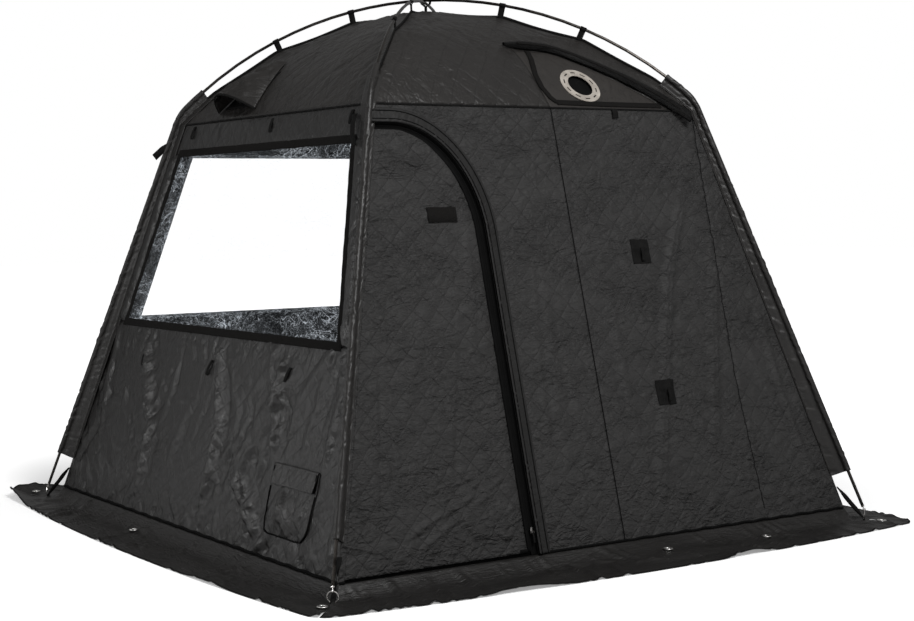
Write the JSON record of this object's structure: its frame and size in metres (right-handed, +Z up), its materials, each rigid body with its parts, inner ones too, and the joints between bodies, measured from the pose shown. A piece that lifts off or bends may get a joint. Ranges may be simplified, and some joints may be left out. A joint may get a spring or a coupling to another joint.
{
  "type": "sauna tent",
  "caption": "Quilted tent with slanting walls and a domed roof hung on crossing pole arches, with a zipped door, a clear window, a slotted chimney ring, a vent hood and a ground skirt.",
  "frame": {"origin": "on the ground, under the crown where the poles cross", "axes": "+Z up; the door wall faces -Y and the window wall faces -X"},
  "size_m": [2.584, 2.584, 1.901],
  "materials": {
    "quilted_cloth": "black quilted nylon with a soft sheen",
    "plain_cloth": "dull black coated cloth",
    "skirt_cloth": "black coated cloth",
    "webbing": "black woven webbing",
    "touch_tape": "matt black loop tape",
    "clear_pvc": "clear and a little wavy",
    "pole_metal": "satin tube",
    "steel": "nickel plated",
    "chimney_metal": "pale satin sheet"
  },
  "bodies": {
    "tent": {"chimney_cover": "plain_cloth", "chimney_panel": "plain_cloth", "chimney_ring": "chimney_metal", "corner_strap_back": "webbing", "corner_strap_front": "webbing", "corner_strap_left": "webbing", "corner_strap_right": "webbing", "crown_tie": "webbing", "door_wall_frame": "quilted_cloth", "door_wall_panel": "quilted_cloth", "far_wall": "quilted_cloth", "foot_pin_back": "steel", "foot_pin_front": "steel", "foot_pin_left": "steel", "foot_pin_right": "steel", "foot_ring_back": "steel", "foot_ring_front": "steel", "foot_ring_left": "steel", "foot_ring_right": "steel", "guy_patch_high": "webbing", "guy_patch_low": "webbing", "inlet_pouch": "plain_cloth", "pole_elbow_back": "pole_metal", "pole_elbow_front": "pole_metal", "pole_elbow_left": "pole_metal", "pole_elbow_right": "pole_metal", "pole_leg_back": "pole_metal", "pole_leg_front": "pole_metal", "pole_leg_left": "pole_metal", "pole_leg_right": "pole_metal", "pole_sleeve_back": "quilted_cloth", "pole_sleeve_front": "quilted_cloth", "pole_sleeve_left": "quilted_cloth", "pole_sleeve_right": "quilted_cloth", "rear_border": "touch_tape", "rear_pane": "clear_pvc", "rear_wall": "quilted_cloth", "roof_gore_door_left": "quilted_cloth", "roof_gore_door_right": "quilted_cloth", "roof_gore_far": "quilted_cloth", "roof_gore_rear": "quilted_cloth", "roof_gore_window": "quilted_cloth", "roof_pole_lower": "pole_metal", "roof_pole_upper": "pole_metal", "skirt_door": "skirt_cloth", "skirt_far": "skirt_cloth", "skirt_rear": "skirt_cloth", "skirt_window": "skirt_cloth", "storm_flap": "plain_cloth", "vent_hood": "plain_cloth", "window_border": "touch_tape", "window_pane": "clear_pvc", "window_wall": "quilted_cloth", "zip_tape": "webbing"},
    "door": {"door_flap": "quilted_cloth"},
    "zip_slider": {"zip_slider": "steel"},
    "zip_pull": {"zip_pull": "webbing"},
    "inlet_flap": {"inlet_flap": "plain_cloth"},
    "vent_stay": {"vent_stay": "webbing"}
  },
  "joints": [
    {"name": "door_swing", "type": "hinge", "parent": "tent", "child": "door", "pos_m": [-1.02553, -1.05, 0.043], "axis": [-0.2438, -0.2438, -0.9387], "range_deg": [0, 120]},
    {"name": "zip_slide", "type": "slide", "parent": "tent", "child": "zip_slider", "axis": [0, 0.2514, 0.9679], "range_m": [0, 0.95]},
    {"name": "zip_pull_swing", "type": "hinge", "parent": "zip_slider", "child": "zip_pull", "pos_m": [-0.331, -1.03825, 0.11289], "axis": [-1, 0, 0], "range_deg": [0, 150]},
    {"name": "inlet_flap_lift", "type": "hinge", "parent": "tent", "child": "inlet_flap", "pos_m": [-0.97733, -0.7, 0.33511], "axis": [0, 1, 0], "range_deg": [0, 150]},
    {"name": "vent_stay_fold", "type": "hinge", "parent": "tent", "child": "vent_stay", "pos_m": [-0.63975, 0.256, 1.51385], "axis": [0, 1, 0], "range_deg": [0, 80], "deforming": ["vent_hood"]}
  ]
}
